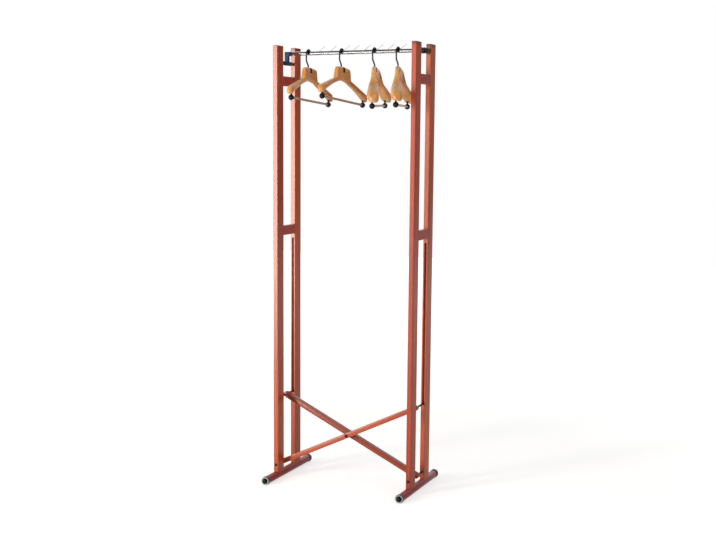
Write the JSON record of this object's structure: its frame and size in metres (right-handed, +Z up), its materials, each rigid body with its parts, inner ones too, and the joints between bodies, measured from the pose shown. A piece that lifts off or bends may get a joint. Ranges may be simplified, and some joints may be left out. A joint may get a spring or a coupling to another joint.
{
  "type": "open frame wardrobe",
  "caption": "Folding open wardrobe: two wooden end frames joined by a scissor brace, a lift-up steel hanging tube between them, and wooden hangers with trouser bars.",
  "frame": {"origin": "on the floor, midway between the two end frames and midway between front and back", "axes": "+X from the left frame, which carries the tube's pivot, to the right frame; +Y from front to back; +Z up"},
  "size_m": [0.6146, 0.4317, 1.75],
  "materials": {
    "stained_wood": "satin red-brown stained beech, lighter orange where the light falls",
    "rail_wood": "satin darker red-brown stained beech",
    "arm_wood": "satin orange-brown stained beech",
    "foot_wood": "satin dark purple-brown stained dowel",
    "pale_wood": "clear lacquered pale beech",
    "bar_wood": "clear lacquered brown dowel",
    "black_plastic": "black moulded plastic",
    "slate_plastic": "slate-blue black moulded plastic",
    "polished_steel": "polished steel tube",
    "dark_steel": "dark browned steel",
    "black_wire": "black coated steel wire"
  },
  "bodies": {
    "left_frame": {"left_front_post": "stained_wood", "left_back_post": "stained_wood", "left_upper_rail": "rail_wood", "left_mid_rail": "rail_wood", "left_foot": "foot_wood", "left_front_foot_cup": "slate_plastic", "left_back_foot_cup": "slate_plastic", "left_front_cap_button": "black_plastic", "left_back_cap_button": "black_plastic", "left_front_foot_screw": "dark_steel", "left_back_foot_screw": "dark_steel", "left_brace_bolt": "dark_steel", "rail_axle": "dark_steel"},
    "right_frame": {"right_front_post": "stained_wood", "right_back_post": "stained_wood", "right_upper_rail": "rail_wood", "right_mid_rail": "rail_wood", "right_foot": "foot_wood", "right_front_foot_cup": "slate_plastic", "right_back_foot_cup": "slate_plastic", "right_front_cap_button": "black_plastic", "right_back_cap_button": "black_plastic", "right_front_foot_screw": "dark_steel", "right_back_foot_screw": "dark_steel", "right_brace_bolt": "dark_steel", "cradle_bar": "black_plastic"},
    "brace_b": {"arm_b": "arm_wood", "upper_pin_b": "dark_steel", "cross_bolt": "dark_steel", "cross_nut": "dark_steel", "cross_washer": "dark_steel"},
    "brace_a": {"arm_a": "arm_wood", "upper_pin_a": "dark_steel"},
    "rail": {"hanging_tube": "polished_steel", "rail_elbow": "slate_plastic", "tube_end_plug": "black_plastic"},
    "saddle_1": {"hanger_1_saddle": "black_plastic"},
    "hook_1": {"hanger_1_hook": "black_wire"},
    "hanger_1": {"hanger_1_body": "pale_wood", "hanger_1_bar": "bar_wood", "hanger_1_front_ball": "black_plastic", "hanger_1_back_ball": "black_plastic"},
    "saddle_2": {"hanger_2_saddle": "black_plastic"},
    "hook_2": {"hanger_2_hook": "black_wire"},
    "hanger_2": {"hanger_2_body": "pale_wood", "hanger_2_bar": "bar_wood", "hanger_2_front_ball": "black_plastic", "hanger_2_back_ball": "black_plastic"},
    "saddle_3": {"hanger_3_saddle": "black_plastic"},
    "hook_3": {"hanger_3_hook": "black_wire"},
    "hanger_3": {"hanger_3_body": "pale_wood", "hanger_3_bar": "bar_wood", "hanger_3_front_ball": "black_plastic", "hanger_3_back_ball": "black_plastic"},
    "saddle_4": {"hanger_4_saddle": "black_plastic"},
    "hook_4": {"hanger_4_hook": "black_wire"},
    "hanger_4": {"hanger_4_body": "pale_wood", "hanger_4_bar": "bar_wood", "hanger_4_front_ball": "black_plastic", "hanger_4_back_ball": "black_plastic"}
  },
  "joints": [
    {"name": "fold", "type": "hinge", "parent": "left_frame", "child": "brace_b", "pos_m": [-0.29, 0, 0.06], "axis": [0, -1, 0], "range_deg": [0, 35]},
    {"name": "brace_cross", "type": "hinge", "parent": "brace_b", "child": "brace_a", "pos_m": [0, 0, 0.2], "axis": [0, -1, 0], "range_deg": [-70, 0]},
    {"name": "frame_follow", "type": "hinge", "parent": "brace_a", "child": "right_frame", "pos_m": [0.29, 0, 0.06], "axis": [0, -1, 0], "range_deg": [0, 35]},
    {"name": "rail_lift", "type": "hinge", "parent": "left_frame", "child": "rail", "pos_m": [-0.29, 0, 1.685], "axis": [0, -1, 0], "range_deg": [0, 25]},
    {"name": "saddle_1_slide", "type": "slide", "parent": "rail", "child": "saddle_1", "axis": [-1, 0, 0], "range_m": [0, 0.04329]},
    {"name": "hook_1_swing", "type": "hinge", "parent": "saddle_1", "child": "hook_1", "pos_m": [-0.19471, 0, 1.7366], "axis": [0, -1, 0], "range_deg": [-25, 0]},
    {"name": "hanger_1_swivel", "type": "hinge", "parent": "hook_1", "child": "hanger_1", "pos_m": [-0.19471, 0, 1.7166], "axis": [0, 0.0489, 0.9988], "range_deg": [-1.5, 0]},
    {"name": "saddle_2_slide", "type": "slide", "parent": "rail", "child": "saddle_2", "axis": [-1, 0, 0], "range_m": [0, 0.13308]},
    {"name": "hook_2_swing", "type": "hinge", "parent": "saddle_2", "child": "hook_2", "pos_m": [-0.05092, 0, 1.7366], "axis": [0, -1, 0], "range_deg": [-25, 0]},
    {"name": "hanger_2_swivel", "type": "hinge", "parent": "hook_2", "child": "hanger_2", "pos_m": [-0.05092, 0, 1.7166], "axis": [0, 0.0698, 0.9976], "range_deg": [0, 2]},
    {"name": "saddle_3_slide", "type": "slide", "parent": "rail", "child": "saddle_3", "axis": [-1, 0, 0], "range_m": [0, 0.21781]},
    {"name": "hook_3_swing", "type": "hinge", "parent": "saddle_3", "child": "hook_3", "pos_m": [0.08781, 0, 1.7366], "axis": [0, -1, 0], "range_deg": [-25, 0]},
    {"name": "hanger_3_swivel", "type": "hinge", "parent": "hook_3", "child": "hanger_3", "pos_m": [0.08781, 0, 1.7166], "axis": [0, -0.0314, 0.9995], "range_deg": [-14.3, 0]},
    {"name": "saddle_4_slide", "type": "slide", "parent": "rail", "child": "saddle_4", "axis": [-1, 0, 0], "range_m": [0, 0.2616]},
    {"name": "hook_4_swing", "type": "hinge", "parent": "saddle_4", "child": "hook_4", "pos_m": [0.1856, 0, 1.7366], "axis": [0, -1, 0], "range_deg": [-25, 0]},
    {"name": "hanger_4_swivel", "type": "hinge", "parent": "hook_4", "child": "hanger_4", "pos_m": [0.1856, 0, 1.7166], "axis": [0, -0.0052, 1], "range_deg": [-14.1, 0]}
  ],
  "couplings": [
    {"joint": "brace_cross", "follows": "fold", "ratio": -2},
    {"joint": "frame_follow", "follows": "fold", "ratio": 1},
    {"joint": "saddle_1_slide", "follows": "fold", "m_per_rad": 0.07086},
    {"joint": "hook_1_swing", "follows": "rail_lift", "ratio": -1},
    {"joint": "hanger_1_swivel", "follows": "fold", "ratio": -0.04285},
    {"joint": "saddle_2_slide", "follows": "fold", "m_per_rad": 0.21785},
    {"joint": "hook_2_swing", "follows": "rail_lift", "ratio": -1},
    {"joint": "hanger_2_swivel", "follows": "fold", "ratio": 0.05714},
    {"joint": "saddle_3_slide", "follows": "fold", "m_per_rad": 0.35655},
    {"joint": "hook_3_swing", "follows": "rail_lift", "ratio": -1},
    {"joint": "hanger_3_swivel", "follows": "fold", "ratio": -0.40857},
    {"joint": "saddle_4_slide", "follows": "fold", "m_per_rad": 0.42824},
    {"joint": "hook_4_swing", "follows": "rail_lift", "ratio": -1},
    {"joint": "hanger_4_swivel", "follows": "fold", "ratio": -0.40285}
  ]
}
